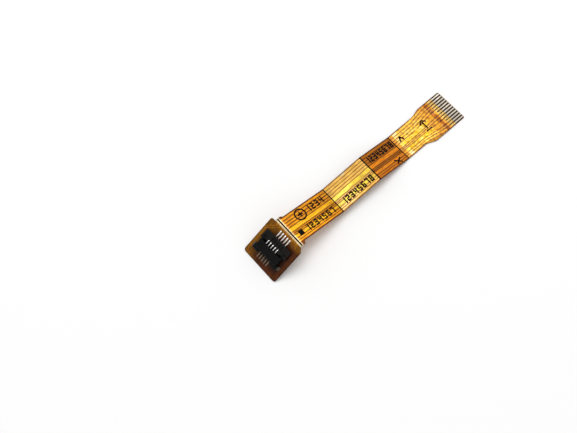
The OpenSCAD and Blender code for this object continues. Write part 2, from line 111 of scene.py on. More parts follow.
# Gains of the painted glare on panel 2 and of the painted glare after the last fold
GLARE_GAIN, FOLD_GLARE_GAIN = (1.2, 1.3, 2.4), (1.12, 1.25, 3.0)
SCUFF = (0.34, 0.42, 0.40)
EMPTY_FILM = (0.56, 0.26, 0.012)  # no copper under it, beside the fan
FOLD_TRACK, FAN_TRACK = (0.62, 0.27, 0.012), (0.60, 0.27, 0.012)
BAND_GAP, BAND_TRACK = (0.10, 0.03, 0.002), (0.36, 0.10, 0.002)
PLATE_GAP, PLATE_TRACK = (0.05, 0.02, 0.005), (0.62, 0.42, 0.12)
BARE_GAP = (0.022, 0.014, 0.008)  # between the bare fingers
# Painted highlight on both sides of the neck's fold line
NECK_HIGHLIGHT = (0.86, 0.74, 0.50)
GLINT = (0.95, 0.80, 0.50)

# Rows of digits: panel, place along it, lower edge, last number, pitch, width, height, stroke
COUNT_ROWS = ((1, 9.6, 1.3, 4, 1.85, 1.3, 2.3, 0.46), (1, 4.9, -3.55, 7, 1.8, 1.3, 2.3, 0.46),
              (2, 1.9, -3.7, 8, 1.62, 1.2, 2.3, 0.46), (3, 0.9, 1.2, 8, 1.52, 1.2, 2.4, 0.5))
DIGIT_BARS = {1: "bc", 2: "abged", 3: "abgcd", 4: "fgbc", 5: "afgcd", 6: "afgedc", 7: "abc", 8: "abcdefg"}
DIGIT_CLEAR = 0.015  # gap that keeps the bars of a digit apart
INK_T, STROKE = 0.006, 0.5

# Stage, in metres
CAMERA_AT, CAMERA_TO = np.array([-77.556, -53.94, 220.17]) * MM, np.array([-24.38, 6.0, 0]) * MM
LENS, SENSOR_W, CLIP = 46.79, 36, (0.01, 20)
LAMP_DIRECTION, LAMP_DISTANCE, LAMP_SIZE, LAMP_ENERGY = (0.17, 0.26, 0.95), 1.2, 0.85, 8.4
SKY_GREY, WHITE = (0.56, 0.56, 0.56), (1.0, 1.0, 1.0)
FLOOR_REACH, FLOOR_DROP, FLOOR_WHITENS = 1.5, 0.00002, (0.14, 0.4)
GRAIN_DEPTH, FOLD_DEPTH = 0.00001, 0.00015


# ---------------------------------------------------------------- sizes

def length(default, name, description):
    """A size in millimetres."""
    return bpy.props.FloatProperty(name=name, description=description, default=default,
                                   min=0.0, soft_max=100.0, precision=3)


def angle(default, name, description):
    """An angle in degrees."""
    return bpy.props.FloatProperty(name=name, description=description, default=default,
                                   min=-90.0, max=90.0)


def colour(default, name, description):
    """A linear colour."""
    return bpy.props.FloatVectorProperty(name=name, description=description, default=default,
                                         size=3, min=0.0, max=1.0, subtype="COLOR")


class CableSizes(bpy.types.PropertyGroup):
    """Sizes of the cable in millimetres, as the solids have them."""
    head_len: length(14.85, "Head length", "Head pad up to the neck corner")
    panel_1_len: length(18.95, "Panel 1 length", "First cable panel, corner to corner")
    panel_2_len: length(15.8, "Panel 2 length", "Second cable panel")
    panel_3_len: length(13.5, "Panel 3 length", "Third cable panel")
    panel_4_len: length(24.1, "Panel 4 length", "Last panel, up to the film's edge")
    head_tilt: angle(33, "Head tilt", "Tilt of the head pad in degrees")
    panel_1_tilt: angle(-17, "Panel 1 tilt", "Tilt of the first panel in degrees")
    panel_2_tilt: angle(3.5, "Panel 2 tilt", "Tilt of the second panel in degrees")
    neck_bend_r: length(2, "Neck radius", "Radius of the neck bend under the film")
    fold_r: length(1.2, "Fold radius", "Radius of the folds under the film")
    cable_w: length(10, "Cable width", "Width of the cable")
    head_w: length(14.2, "Head width", "Width of the head pad")
    base_t: length(0.05, "Base film", "Thickness of the base film")
    copper_t: length(0.035, "Copper", "Thickness of the copper")
    cover_t: length(0.05, "Cover film", "Thickness of the cover film")
    relief: length(0.012, "Track relief", "How far the cover film rises over a track")
    track_gap: length(0.21, "Track gap", "Gap between neighbouring tracks")
    finger_bare: length(3.7, "Bare fingers", "Length of the fingers without cover film")


class CableColours(bpy.types.PropertyGroup):
    """Colours of the finishes."""
    over_track: colour((0.84, 0.34, 0.012), "Film over a track", "Amber film over a narrow track")
    over_wide: colour((1.0, 0.55, 0.02), "Film over a wide track", "Amber film over a supply track")
    over_gap: colour((0.085, 0.030, 0.005), "Film over a gap", "Amber film between two tracks")
    head_gold: colour((0.22, 0.088, 0.003), "Head, light", "Film on the backed head by its upper edge")
    head_dark: colour((0.062, 0.015, 0.002), "Head, dark", "Film on the backed head by its lower edge")
    copper: colour((0.80, 0.38, 0.20), "Copper", "Bare copper")
    tin: colour((0.86, 0.85, 0.82), "Tin", "Tinned contacts")
    # Painted shade: a darker copy of the tin, for the fingers' dark reflections
    shaded_tin: colour((0.50, 0.45, 0.37), "Dull tin", "Worn tin of the fingers and tabs")
    moulding: colour((0.003, 0.003, 0.003), "Moulding", "Black connector housing")
    lever: colour((0.009, 0.007, 0.007), "Lever", "Dark grey locking lever")
    ink: colour((0.006, 0.004, 0.004), "Ink", "Printed marks")
    floor: colour((0.97, 0.97, 0.97), "Floor", "Plain studio floor")


def sizes():
    return bpy.context.scene.cable_sizes


def colours():
    return bpy.context.scene.cable_colours


# ---------------------------------------------------------------- the film's path

class Path:
    """The line of the film's underside: straight panels joined by circular bends. A point is
    found by its length s along that line, its place y across it and its height z above it."""

    def __init__(self, p):
        """Works out each stretch: start length, start point, start angle and curvature."""
        rad = math.radians
        rest = HEAD_PLATE_T * math.cos(rad(p.head_tilt)) - HEAD_PLATE_INSET * math.sin(rad(p.head_tilt))
        peak = (rest + p.head_len * math.sin(rad(p.head_tilt))
                + p.panel_1_len * math.sin(rad(p.panel_1_tilt))
                + p.panel_2_len * math.sin(rad(p.panel_2_tilt)))
        third = -math.degrees(math.asin((peak - TIP_PLATE_T) / p.panel_3_len))
        self.lengths = [p.head_len, p.panel_1_len, p.panel_2_len, p.panel_3_len, p.panel_4_len]
        self.tilts = [rad(t) for t in (p.head_tilt, p.panel_1_tilt, p.panel_2_tilt, third, 0)]
        radii = [0, p.neck_bend_r, p.fold_r, p.fold_r, p.fold_r, 0]
        film = p.base_t + p.copper_t + p.cover_t
        turns = [0] + [b - a for a, b in zip(self.tilts, self.tilts[1:])] + [0]
        self.tangents = [r * math.tan(abs(t) / 2) for r, t in zip(radii, turns)]
        far = min(0.0, -film * math.sin(self.tilts[0]))
        end = sum(l * math.cos(t) for l, t in zip(self.lengths, self.tilts))
        x, z, s = -far - (end - far) / 2, rest, 0.0
        rows, self.starts = [], []
        for k, (l, a) in enumerate(zip(self.lengths, self.tilts)):
            if k:
                bend = abs(turns[k])
                curve = math.copysign(1 / radii[k], turns[k])
                before = self.tilts[k - 1]
                rows.append((s, x, z, before, curve))
                x += (math.sin(a) - math.sin(before)) / curve
                z += (math.cos(before) - math.cos(a)) / curve
                s += radii[k] * bend
            run = l - self.tangents[k] - self.tangents[k + 1]
            self.starts.append(s - self.tangents[k])
            rows.append((s, x, z, a, 0.0))
            x, z, s = x + run * math.cos(a), z + run * math.sin(a), s + run
        self.end = s
        self.rows = np.array(rows)

    def at(self, k, u):
        """Length along the path of the place u on panel k."""
        return self.starts[k] + u

    def points(self, s, y, z):
        """Points in metres for arrays of s, y and z in millimetres."""
        s, y, z = np.broadcast_arrays(np.asarray(s, float), y, z)
        i = np.clip(np.searchsorted(self.rows[:, 0], s, side="right") - 1, 0, len(self.rows) - 1)
        s0, x0, z0, a0, c = (self.rows[i, j] for j in range(5))
        d = s - s0
        a = a0 + c * d
        bent = np.abs(c) > 0
        k = np.where(bent, c, 1.0)
        x = x0 + np.where(bent, (np.sin(a) - np.sin(a0)) / k, d * np.cos(a0)) - z * np.sin(a)
        h = z0 + np.where(bent, (np.cos(a0) - np.cos(a)) / k, d * np.sin(a0)) + z * np.cos(a)
        return np.stack([x, y, h], -1) * MM


def ease(t):
    """A step from 0 to 1 that starts and ends level."""
    t = np.clip(t, 0, 1)
    return t * t * (3 - 2 * t)


def window(t, low, high, rise, fall):
    """1 between low and high and 0 outside, with soft steps of length rise and fall."""
    return ease((t - low) / rise) * ease((high - t) / fall)


def blend(a, b, t):
    """Colours from a to b, in a soft step by the share t of each place."""
    return np.asarray(a) + (np.asarray(b) - np.asarray(a)) * ease(t)[..., None]


def corner_y(u, u0, r, y0):
    """Half width beside a rounded corner: a quarter circle of radius r that starts at u0."""
    d = np.clip((r - (u - u0)) / r, 0, 1)
    return y0 - r + r * np.sqrt(np.maximum(1 - d * d, 0))


class Layout:
    """The outline and the tracks of the flat film, all in millimetres."""

    def __init__(self, p, path):
        self.p, self.path = p, path
        self.film = p.base_t + p.copper_t + p.cover_t
        self.pad_edge = p.head_len - path.tangents[1] - 0.02
        half = p.cable_w / 2
        self.neck = (half + NECK_FLARE[0], -half - NECK_FLARE[1])
        self.tip = (half + TIP_FLARE[0], -half - TIP_FLARE[1])
        self.tip_y = sum(self.tip) / 2
        self.fan = (7.4, p.panel_4_len - p.finger_bare - 2.4)
        self.bare = path.at(4, p.panel_4_len - p.finger_bare)
        margin = (p.cable_w - TRACK_W.sum() - (COUNT - 1) * p.track_gap) / 2
        before = np.concatenate([[0], np.cumsum(TRACK_W)[:-1]])
        self.track_y = p.cable_w / 2 - margin - before - np.arange(COUNT) * p.track_gap - TRACK_W / 2
        self.first_finger = np.concatenate([[0], np.cumsum(TRACK_FINGERS)[:-1]])
        self.pads = [self.pad(c) for c in range(COUNT)]

    def contact_y(self, c):
        """Y of a contact, at a pitch of 0.5 in a row whose middle is at 0.2."""
        return 0.2 + (4.5 - c) * 0.5

    def pad(self, c):
        """Start and end of a solder pad along the head: the even contacts' tails are in front."""
        return (1.5, 3.5) if c % 2 == 0 else (11.15, 13.15)

    def finger_y(self, n):
        """Y of a finger, at a pitch of 1."""
        return self.tip_y + (TRACK_FINGERS.sum() - 1) / 2 - n

    def fanned(self, u4):
        """How far the tracks have fanned out to the fingers, from 0 to 1 along the last panel."""
        return ease((u4 - self.fan[0]) / (self.fan[1] - self.fan[0]))

    def sides(self, s):
        """The film's left and right edge at each s."""
        p, path = self.p, self.path
        s = np.asarray(s, float)
        u4 = s - path.starts[4]
        half = p.head_w / 2
        far = corner_y(s, 0, HEAD_FAR_R, half)
        head_left = np.minimum(far, corner_y(self.pad_edge - s, 0, HEAD_NEAR_R, half))
        cut = -half + np.clip(s - (self.pad_edge - HEAD_CUT), 0, HEAD_CUT) * CUT_SLOPE
        head_right = np.maximum(-far, cut)
        t = (s - path.at(1, path.tangents[1])) / NECK_TAPER
        half = p.cable_w / 2
        left = self.neck[0] + (half - self.neck[0]) * ease(t)
        right = self.neck[1] + (-half - self.neck[1]) * ease(t)
        left += (self.tip[0] - half) * ease((u4 - FLARE_START[0]) / FLARE_LEN)
        right += (self.tip[1] + half) * ease((u4 - FLARE_START[1]) / FLARE_LEN)
        left = np.minimum(left, corner_y(p.panel_4_len - u4, 0, TIP_R, self.tip[0]))
        right = np.maximum(right, -corner_y(p.panel_4_len - u4, 0, TIP_R, -self.tip[1]))
        on_head = s <= self.pad_edge + 1e-9
        return np.where(on_head, head_left, left), np.where(on_head, head_right, right)

    def loop(self, i):
        """Points and widths of a track that runs round the connector to a front tail."""
        sign = 1 if i < COUNT / 2 else -1
        rank = i if sign > 0 else COUNT - 1 - i
        y, pad_y = self.track_y[i], self.contact_y(TRACK_CONTACT[i])
        edge = sign * (self.p.head_w / 2 - LOOP_EDGE - rank * LOOP_STEP)
        far = 0.4 + rank * LOOP_STEP
        x = self.pad_edge - 0.63
        points = [(x + 0.65, y), (x + 0.25, y), (x, y), (x - abs(edge - y), edge), (far + 0.5, edge),
                  (far, edge - sign * 0.5), (far, pad_y + sign * 0.25), (far + 0.25, pad_y),
                  (1.48, pad_y), (1.5, pad_y), (3.5, pad_y)]
        widths = [TRACK_W[i]] * 2 + [LOOP_W] * 7 + [2 * PAD_HALF] * 2
        return np.array(points), np.array(widths)

    def copper(self, s, y):
        """Signed distance to the nearest track's side, below 0 inside a track."""
        path = self.path
        out = np.full(np.broadcast(s, y).shape, 9.0)

        def span(low, high, where):
            nonlocal out
            out = np.where(where, np.minimum(out, np.maximum(low - y, y - high)), out)

        start4 = path.at(4, path.tangents[4])
        u4 = s - path.starts[4]
        cable = (s > self.pad_edge - 0.2) & (s <= start4)
        fan = self.fanned(u4)
        parted = u4 >= self.fan[1] + 0.6
        for i in range(COUNT):
            low, high = self.track_y[i] - TRACK_W[i] / 2, self.track_y[i] + TRACK_W[i] / 2
            span(low, high, cable)
            n, m = self.first_finger[i], self.first_finger[i] + TRACK_FINGERS[i] - 1
            span(low + (self.finger_y(m) - FINGER_HALF - low) * fan,
                 high + (self.finger_y(n) + FINGER_HALF - high) * fan, (s > start4) & ~parted)
            for f in range(n, m + 1):
                span(self.finger_y(f) - FINGER_HALF, self.finger_y(f) + FINGER_HALF, parted)
        for i in STRAIGHT:
            c = TRACK_CONTACT[i]
            x0, x1 = self.pad(c)
            t = ease((s - x1) / (self.pad_edge - 0.4 - x1))
            y_pad = self.contact_y(c)
            span(y_pad - PAD_HALF + (self.track_y[i] - TRACK_W[i] / 2 - y_pad + PAD_HALF) * t,
                 y_pad + PAD_HALF + (self.track_y[i] + TRACK_W[i] / 2 - y_pad - PAD_HALF) * t,
                 (s >= x0) & (s <= self.pad_edge))
        head = s < self.pad_edge + 0.1
        for i in LOOPED:
            q, w = self.loop(i)
            for a, b, wa, wb in zip(q, q[1:], w, w[1:]):
                d = b - a
                t = np.clip(((s - a[0]) * d[0] + (y - a[1]) * d[1]) / (d @ d), 0, 1)
                gap = np.hypot(s - a[0] - t * d[0], y - a[1] - t * d[1]) - (wa + (wb - wa) * t) / 2
                out = np.where(head, np.minimum(out, gap), out)
        return out

    def ripple(self, s, y):
        """Height of the low creases on the last panel: products of slow sine waves that run askew,
        never below 0, fading out at the fold and at the fingers."""
        u = s - self.path.starts[4]
        end = self.p.panel_4_len - u
        wave = np.sin(3.1 * u + 1.3 * y + np.sin(1.7 * y)) * np.sin(1.9 * y - 0.9 * u + 0.8 * np.sin(1.3 * u))
        fine = np.sin(5.3 * u - 2.2 * y + 1.0) * np.sin(2.6 * y + 1.1 * u)
        height = 0.016 * (1 + wave) + 0.006 * (1 + fine)
        return height * ease((u - 1.2) / 1.5) * ease((end - 4.0) / 1.2)

    def panel_tones(self, y, u, track):
        """Panels 1 to 4 from their shares, which are partly painted shade and highlight; the track value
        leads from gap to track.
        """
        c, fan = colours(), self.fanned(u[4])
        wide = np.zeros(y.shape)
        for i in SUPPLY:
            pair_y = self.finger_y(self.first_finger[i] + 0.5)
            middle = self.track_y[i] + (pair_y - self.track_y[i]) * fan
            half = TRACK_W[i] / 2 + (SUPPLY_HALF - TRACK_W[i] / 2) * fan
            wide = np.maximum(wide, ease((half + 0.1 - np.abs(y - middle)) / 0.12))
        low = ease((-3.0 - y) / 0.5)[..., None]
        narrow, broad, gap = (np.array(v) for v in (c.over_track, c.over_wide, c.over_gap))
        tone = np.zeros(y.shape + (3,))
        for k, (narrow_share, broad_share, gap_share, lower) in enumerate(PANEL_SHARES, 1):
            here = blend(narrow * narrow_share, broad * broad_share, wide)
            here = blend(gap * gap_share, here, track) * (1 + (lower - 1) * low)
            tone = np.where((u[k] > 0)[..., None], here, tone)
        return tone

    def shade_glare_and_scuff(self, tone, y, u, track):
        """Painted shade at the end of panel 1, a painted glare on panel 2 and the pale scuff on panel 2."""
        # Painted shade towards the fold into panel 2
        dusk = ease((u[1] - 13) / 5) * (u[2] <= 0)
        tone = tone * (1 - 0.2 * dusk)[..., None]
        # Painted glare on panel 2, over the tracks
        glare = ease((1.6 - y) / 1.5) * window(u[2], 0, 10, 0.2, 5) * track
        tone = blend(tone, tone * GLARE_GAIN, glare)
        far = np.hypot((u[2] - 7.6) / 1.9, (y - 4.55) / 0.5)
        scuff = ease(1.2 - far) * (0.6 + 0.4 * np.sin(9 * u[2] + 5 * y))
        return blend(tone, SCUFF, 0.75 * scuff)

    def last_tones(self, tone, s, y, u, track):
        """The last panel: plain amber beside the fan, a dull stretch and then a painted glare after the
        fold, browner tracks in the fan, a dark band, the backed tip and the bare fingers."""
        end = self.p.panel_4_len - u
        gap = np.array(colours().over_gap)
        empty = ease((self.copper(s, y) - 0.16) / 0.1) * ease((u - 7) / 1.0)
        tone = blend(tone, EMPTY_FILM, empty)
        fold = blend(blend(gap * 3, FOLD_TRACK, track), tone, (u - 1.0) / 0.6)
        tone = np.where(((u > 0) & (u < 2))[..., None], fold, tone)
        # Painted glare after the fold
        tone = blend(tone, tone * FOLD_GLARE_GAIN + 0.02, window(u, 1.2, 3.2, 0.5, 0.8))
        tone = blend(tone, blend(gap * 4, FAN_TRACK, track), ease((12.5 - end) / 3.0) * 0.8)
        band = window(end, 6.0, 7.9, 0.5, 0.5) * 0.95
        tone = blend(tone, blend(BAND_GAP, BAND_TRACK, track), band)
        tone = blend(tone, blend(PLATE_GAP, PLATE_TRACK, track), ease((5.9 - end) / 0.6))
        return blend(tone, BARE_GAP, (3.72 - end) / 0.08)

    def head_tones(self, tone, s, y, track):
        """The backed head: from olive gold to red brown, partly painted shade, mottled and darker round the
        connector, with painted highlights on both sides of the neck's fold line."""
        c, neck = colours(), self.path.starts[1]
        # Gold by the upper edge to red brown by the lower: partly the film's colour, partly painted shade
        upper = ease((y - 0.5) / 5.5) * (0.62 + 0.38 * ease(s / 4))
        head = blend(np.array(c.head_dark), np.array(c.head_gold),
                     np.maximum(upper, 0.95 * ease((s - 10.8) / 2.6)))
        beside = np.maximum(np.abs(s - 5.6) - 3.0, np.abs(y - 0.2) - 5.0)
        head = head * ((0.9 + 1.1 * track) * (1 - 0.38 * ease(1 - beside / 1.1)))[..., None]
        mottle = 0.14 * np.sin(1.9 * s + 1.2 * y) * np.sin(1.4 * y - 0.8 * s + 1.0)
        head = head * (1 + mottle)[..., None]
        tone = np.where((s < neck - 0.6)[..., None], head, tone)
        # Painted highlight where the film bends at the neck
        neck_highlight = (s > neck - 0.62) & (s < neck + 0.36)
        return np.where(neck_highlight[..., None], NECK_HIGHLIGHT, tone)

    def paint(self, s, y, track):
        """Colour and crinkle of the film at each place, from region to region in soft steps. Last
        come the dark edges, the glints beside the last fold and the shade in the creases."""
        u = [s - start for start in self.path.starts]
        end = self.p.panel_4_len - u[4]
        tone = self.shade_glare_and_scuff(self.panel_tones(y, u, track), y, u, track)
        tone = self.last_tones(tone, s, y, u[4], track)
        tone = self.head_tones(tone, s, y, track)
        left, right = self.sides(s[:, :1])
        edge = np.minimum(left - y, y - right)
        tone = tone * (0.5 + 0.5 * ease(edge / 0.3))[..., None]
        glint = window(u[4], 1.3, 3.8, 0.5, 1.2) * ease((np.abs(y) - 3.2) / 0.8)
        glint = glint * ease(0.9 + np.sin(7 * u[4] + 2 * y) * np.sin(5 * y)) * track
        tone = blend(tone, GLINT, 0.7 * glint)
        unbacked = ease((end - 4.4) / 1.5)
        valley = np.clip(1 - self.ripple(s, y) / 0.02, -0.5, 1)
        tone = tone * (1 - 0.42 * ease(u[4] / 1.5 - 1) * unbacked * valley)[..., None]
        crinkle = ease(u[4] / 1.5) * unbacked * (1 - 0.65 * ease((u[4] - 11) / 2))
        crinkle = crinkle + 0.12 * (s > self.pad_edge) + 0.03
        return np.clip(tone, 0, 1), np.clip(crinkle, 0, 1)


# ---------------------------------------------------------------- meshes

def new_object(name, mesh):
    made = bpy.data.objects.new(name, mesh)
    bpy.context.scene.collection.objects.link(made)
    return made


def clean(mesh, distance, flat=None):
    """Merges points within that distance, and faces that meet at less than the angle flat."""
    work = bmesh.new()
    work.from_mesh(mesh)
    bmesh.ops.remove_doubles(work, verts=work.verts, dist=distance)
    if flat:
        bmesh.ops.dissolve_limit(work, angle_limit=flat, verts=work.verts, edges=work.edges)
    work.to_mesh(mesh)
    work.free()
    mesh.polygons.foreach_set("use_smooth", np.ones(len(mesh.polygons), bool))
    mesh.update()


def grid_faces(rows, columns, wrap=False):
    """Corner numbers of the quads of a grid, row by row. With wrap the last row meets the first."""
    i, j = np.meshgrid(np.arange(rows if wrap else rows - 1), np.arange(columns - 1), indexing="ij")
    k = (i + 1) % rows
    quads = [i * columns + j, k * columns + j, k * columns + j + 1, i * columns + j + 1]
    return np.stack(quads, -1).reshape(-1, 4)


def new_sheet(name, points, faces, attributes=None, uv=None):
    """An object of the points that the faces use, with attributes at its points and a UV map."""
    used, compact = np.unique(faces, return_inverse=True)
    mesh = bpy.data.meshes.new(name)
    mesh.from_pydata(points[used].tolist(), [], compact.reshape(faces.shape).tolist())
    for key, values in (attributes or {}).items():
        kind, field = ("FLOAT", "value") if values.ndim == 1 else ("FLOAT_COLOR", "color")
        if values.ndim > 1:
            values = np.hstack([values, np.ones((len(values), 1))])
        layer = mesh.attributes.new(key, kind, "POINT")
        layer.data.foreach_set(field, values[used].astype(np.float32).ravel())
    if uv is not None:
        layer = mesh.uv_layers.new(name="flat")
        corners = np.empty(len(mesh.loops), np.int32)
        mesh.loops.foreach_get("vertex_index", corners)
        layer.data.foreach_set("uv", uv[used][corners].astype(np.float32).ravel())
    clean(mesh, 1e-8)
    return new_object(name, mesh)


def solidify(piece, thickness):
    """Gives a sheet its thickness on the side away from its faces."""
    wall = piece.modifiers.new("thickness", "SOLIDIFY")
    wall.thickness = thickness * MM
    wall.offset = -1
    wall.use_rim = True
    wall.use_even_offset = False


def round_edges(piece, width):
    """Rounds a piece's sharp edges by width in millimetres."""
    bevel = piece.modifiers.new("edges", "BEVEL")
    bevel.width = width * MM
    bevel.segments = 2
    bevel.limit_method = "ANGLE"
    bevel.angle_limit = math.radians(35)
    weighted = piece.modifiers.new("normals", "WEIGHTED_NORMAL")
    weighted.keep_sharp = True


def softened(node, name, width):
    """A copy of a solid with its loose triangles merged and its edges rounded, shown in its place."""
    source = frame["nodes"][node]
    mesh = source.data.copy()
    mesh.name = name
    clean(mesh, 1e-7, math.radians(2))
    piece = new_object(name, mesh)
    round_edges(piece, width)
    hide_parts(node)
    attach(piece, source["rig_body"])
    return piece


def set_material(piece, made):
    """Gives a piece one material."""
    piece.data.materials.clear()
    piece.data.materials.append(made)


def finish_piece(piece, body, slot, material, *nodes):
    """Sets a piece's finish, the body that it rides on and the solids that it stands for."""
    set_material(piece, material)
    if nodes:
        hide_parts(*nodes)
    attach(piece, body)


def repaint(node, material):
    """Puts a material on a solid that stays in view."""
    set_material(frame["nodes"][node], material)


# ---------------------------------------------------------------- shader groups

def feed(tree, socket, value):
    """Links a socket, or sets its number or its colour of three numbers."""
    if isinstance(value, bpy.types.NodeSocket):
        tree.links.new(value, socket)
    elif socket.type == "RGBA":
        socket.default_value = (*value, 1.0)
    else:
        socket.default_value = value


def dress(tree, node, values):
    """Feeds a node's inputs, given by name or number."""
    for key, value in values.items():
        feed(tree, node.inputs[key], value)


def add(tree, kind, inputs=None, **settings):
    """A node with its settings and what feeds its inputs."""
    node = tree.nodes.new(kind)
    for key, value in settings.items():
        setattr(node, key, value)
    dress(tree, node, inputs or {})
    return node


def noise_value(tree, vector, scale, detail, roughness):
    """Noise between 0 and 1."""
    return add(tree, "ShaderNodeTexNoise", {"Vector": vector, "Scale": scale, "Detail": detail,
                                            "Roughness": roughness}).outputs["Fac"]


def surface_wear():
    """Node group: cloudy colour change, fine grain and hair scratches for any finish.
    Cloud is a slow noise, Grain a fast one, Scratch a stretched one kept to its peaks."""
    name = "surface wear"
    if name in bpy.data.node_groups:
        return bpy.data.node_groups[name]
    tree = bpy.data.node_groups.new(name, "ShaderNodeTree")
    for layer, default in (("Cloud", 300.0), ("Grain", 9000.0), ("Scratch", 900.0)):
        for socket, side in ((layer + " Scale", "INPUT"), (layer, "OUTPUT")):
            made = tree.interface.new_socket(name=socket, in_out=side, socket_type="NodeSocketFloat")
            made.default_value = default if side == "INPUT" else 0.0
    scale = add(tree, "NodeGroupInput").outputs
    place = add(tree, "ShaderNodeTexCoord").outputs["Object"]
    turned = add(tree, "ShaderNodeMapping", {"Vector": place, "Rotation": (0.2, 0.5, 0.65),
                                             "Scale": (1.0, 9.0, 9.0)}).outputs["Vector"]
    hair = noise_value(tree, turned, scale["Scratch Scale"], 2.0, 0.4)
    add(tree, "NodeGroupOutput", {"Cloud": noise_value(tree, place, scale["Cloud Scale"], 3.0, 0.55),
                                  "Grain": noise_value(tree, place, scale["Grain Scale"], 2.0, 0.5),
                                  "Scratch": ranged(tree, hair, 0.62, 0.72)})
    return tree


def plain_material(name):
    """A material with its Principled shader, ready for links."""
    made = bpy.data.materials.new(name)
    made.use_nodes = True
    tree = made.node_tree
    return made, tree, tree.nodes["Principled BSDF"]


def mix_colour(tree, factor, a, b, blend_type="MIX"):
    """A colour between a and b; each is a socket or three numbers."""
    node = add(tree, "ShaderNodeMix", data_type="RGBA", blend_type=blend_type)
    first, second = [s for s in node.inputs if s.type == "RGBA"]
    for socket, value in ((node.inputs["Factor"], factor), (first, a), (second, b)):
        feed(tree, socket, value)
    return [s for s in node.outputs if s.type == "RGBA"][0]


def multiplied(tree, a, b):
    """The product of two colours."""
    return mix_colour(tree, 1.0, a, b, "MULTIPLY")


def math_node(tree, operation, *values):
    """The result of a calculation with sockets or numbers."""
    node = add(tree, "ShaderNodeMath", operation=operation)
    for socket, value in zip(node.inputs, values):
        feed(tree, socket, value)
    return node.outputs["Value"]


def times(tree, a, b):
    return math_node(tree, "MULTIPLY", a, b)


def plus(tree, a, b):
    return math_node(tree, "ADD", a, b)


def scaled(tone, by, lift=0.0):
    """A colour made darker or lighter."""
    return tuple(v * by + lift for v in tone)


def object_place(tree):
    """The X, Y and Z of the object coordinates."""
    place = add(tree, "ShaderNodeTexCoord").outputs["Object"]
    return add(tree, "ShaderNodeSeparateXYZ", {"Vector": place}).outputs


def ranged(tree, value, low, high, to_low=0, to_high=1):
    """Maps a value's range to another range, clamped."""
    return add(tree, "ShaderNodeMapRange", {"Value": value, "From Min": low, "From Max": high,
                                            "To Min": to_low, "To Max": to_high}).outputs["Result"]


def cloudy(tree, noise, low, high):
    """A value that wanders from low to high with the clouds of the wear group."""
    return ranged(tree, noise["Cloud"], 0.3, 0.7, low, high)


def clouded(tree, noise, low, high, tone, by):
    """A tone that is darker by that factor where the clouds are thick."""
    return mix_colour(tree, ranged(tree, noise["Cloud"], low, high), tone, scaled(tone, by))


def stretched_noise(tree, vector, scale, w):
    """Noise on the flat film, stretched by a scale of its own along and across it."""
    turn = add(tree, "ShaderNodeMapping", {"Vector": vector, "Scale": scale, "Location": (w, 2.0 * w, 0.0)})
    return noise_value(tree, turn.outputs["Vector"], 1.0, 3.0, 0.55)


def wear(tree, cloud, grain, scratch):
    """The outputs of the wear group, placed with its three scales."""
    scales = {"Cloud Scale": cloud, "Grain Scale": grain, "Scratch Scale": scratch}
    return add(tree, "ShaderNodeGroup", scales, node_tree=surface_wear()).outputs


def bump(tree, height, strength, distance=GRAIN_DEPTH):
    """The normal of a surface with bumps of that height."""
    return add(tree, "ShaderNodeBump", {"Height": height, "Strength": strength,
                                        "Distance": distance}).outputs["Normal"]


def film_material(name, coat):
    """Amber polyimide: golden and metallic where copper lies under it, brown in the gaps, with painted glints
    and painted shade on the crinkled film.
    """
    made, tree, shader = plain_material(name)
    noise = wear(tree, 180.0, 6000.0, 260.0)
    track, tone, crinkle = (add(tree, "ShaderNodeAttribute", attribute_name=key).outputs[kind]
                            for key, kind in (("track", "Fac"), ("tone", "Color"), ("crinkle", "Fac")))
    place = add(tree, "ShaderNodeTexCoord").outputs
    streak = stretched_noise(tree, place["UV"], (45.0, 420.0, 1.0), 1.0)
    glint_noise = stretched_noise(tree, place["UV"], (40.0, 260.0, 1.0), 1.0)
    crinkle_dark = stretched_noise(tree, place["UV"], (90.0, 60.0, 1.0), 3.0)
    streaks = mix_colour(tree, ranged(tree, streak, 0.38, 0.62), (0.70, 0.62, 0.55), (1.22, 1.22, 1.15))
    clouds = mix_colour(tree, ranged(tree, noise["Cloud"], 0.35, 0.65), WHITE, (0.88, 0.82, 0.76))
    shaded = multiplied(tree, multiplied(tree, tone, streaks), clouds)
    # Painted glints on the crinkled film over the tracks
    pale = times(tree, ranged(tree, glint_noise, 0.55, 0.63, 0, 0.62), times(tree, crinkle, track))
    shaded = mix_colour(tree, pale, shaded, (0.88, 0.66, 0.22))
    # Painted shade in the crinkles
    brown = times(tree, ranged(tree, crinkle_dark, 0.40, 0.33, 0, 0.75), crinkle)
    shaded = mix_colour(tree, brown, shaded, (0.30, 0.11, 0.008))
    fold = add(tree, "ShaderNodeTexNoise", {"Vector": place["Object"], "Scale": 230.0, "Detail": 2.0},
               noise_type="RIDGED_MULTIFRACTAL")
    height = plus(tree, times(tree, noise["Cloud"], 0.5), times(tree, noise["Grain"], 0.1))
    height = plus(tree, height, times(tree, fold.outputs["Fac"], times(tree, crinkle, 3.0)))
    dress(tree, shader, {
        "Base Color": shaded, "Metallic": ranged(tree, track, 0, 1, 0.1, 0.36),
        "Roughness": cloudy(tree, noise, 0.30, 0.42), "Specular IOR Level": 0.08,
        "Coat Weight": coat, "Coat Roughness": 0.12, "Normal": bump(tree, height, 0.6, FOLD_DEPTH)})
    return made


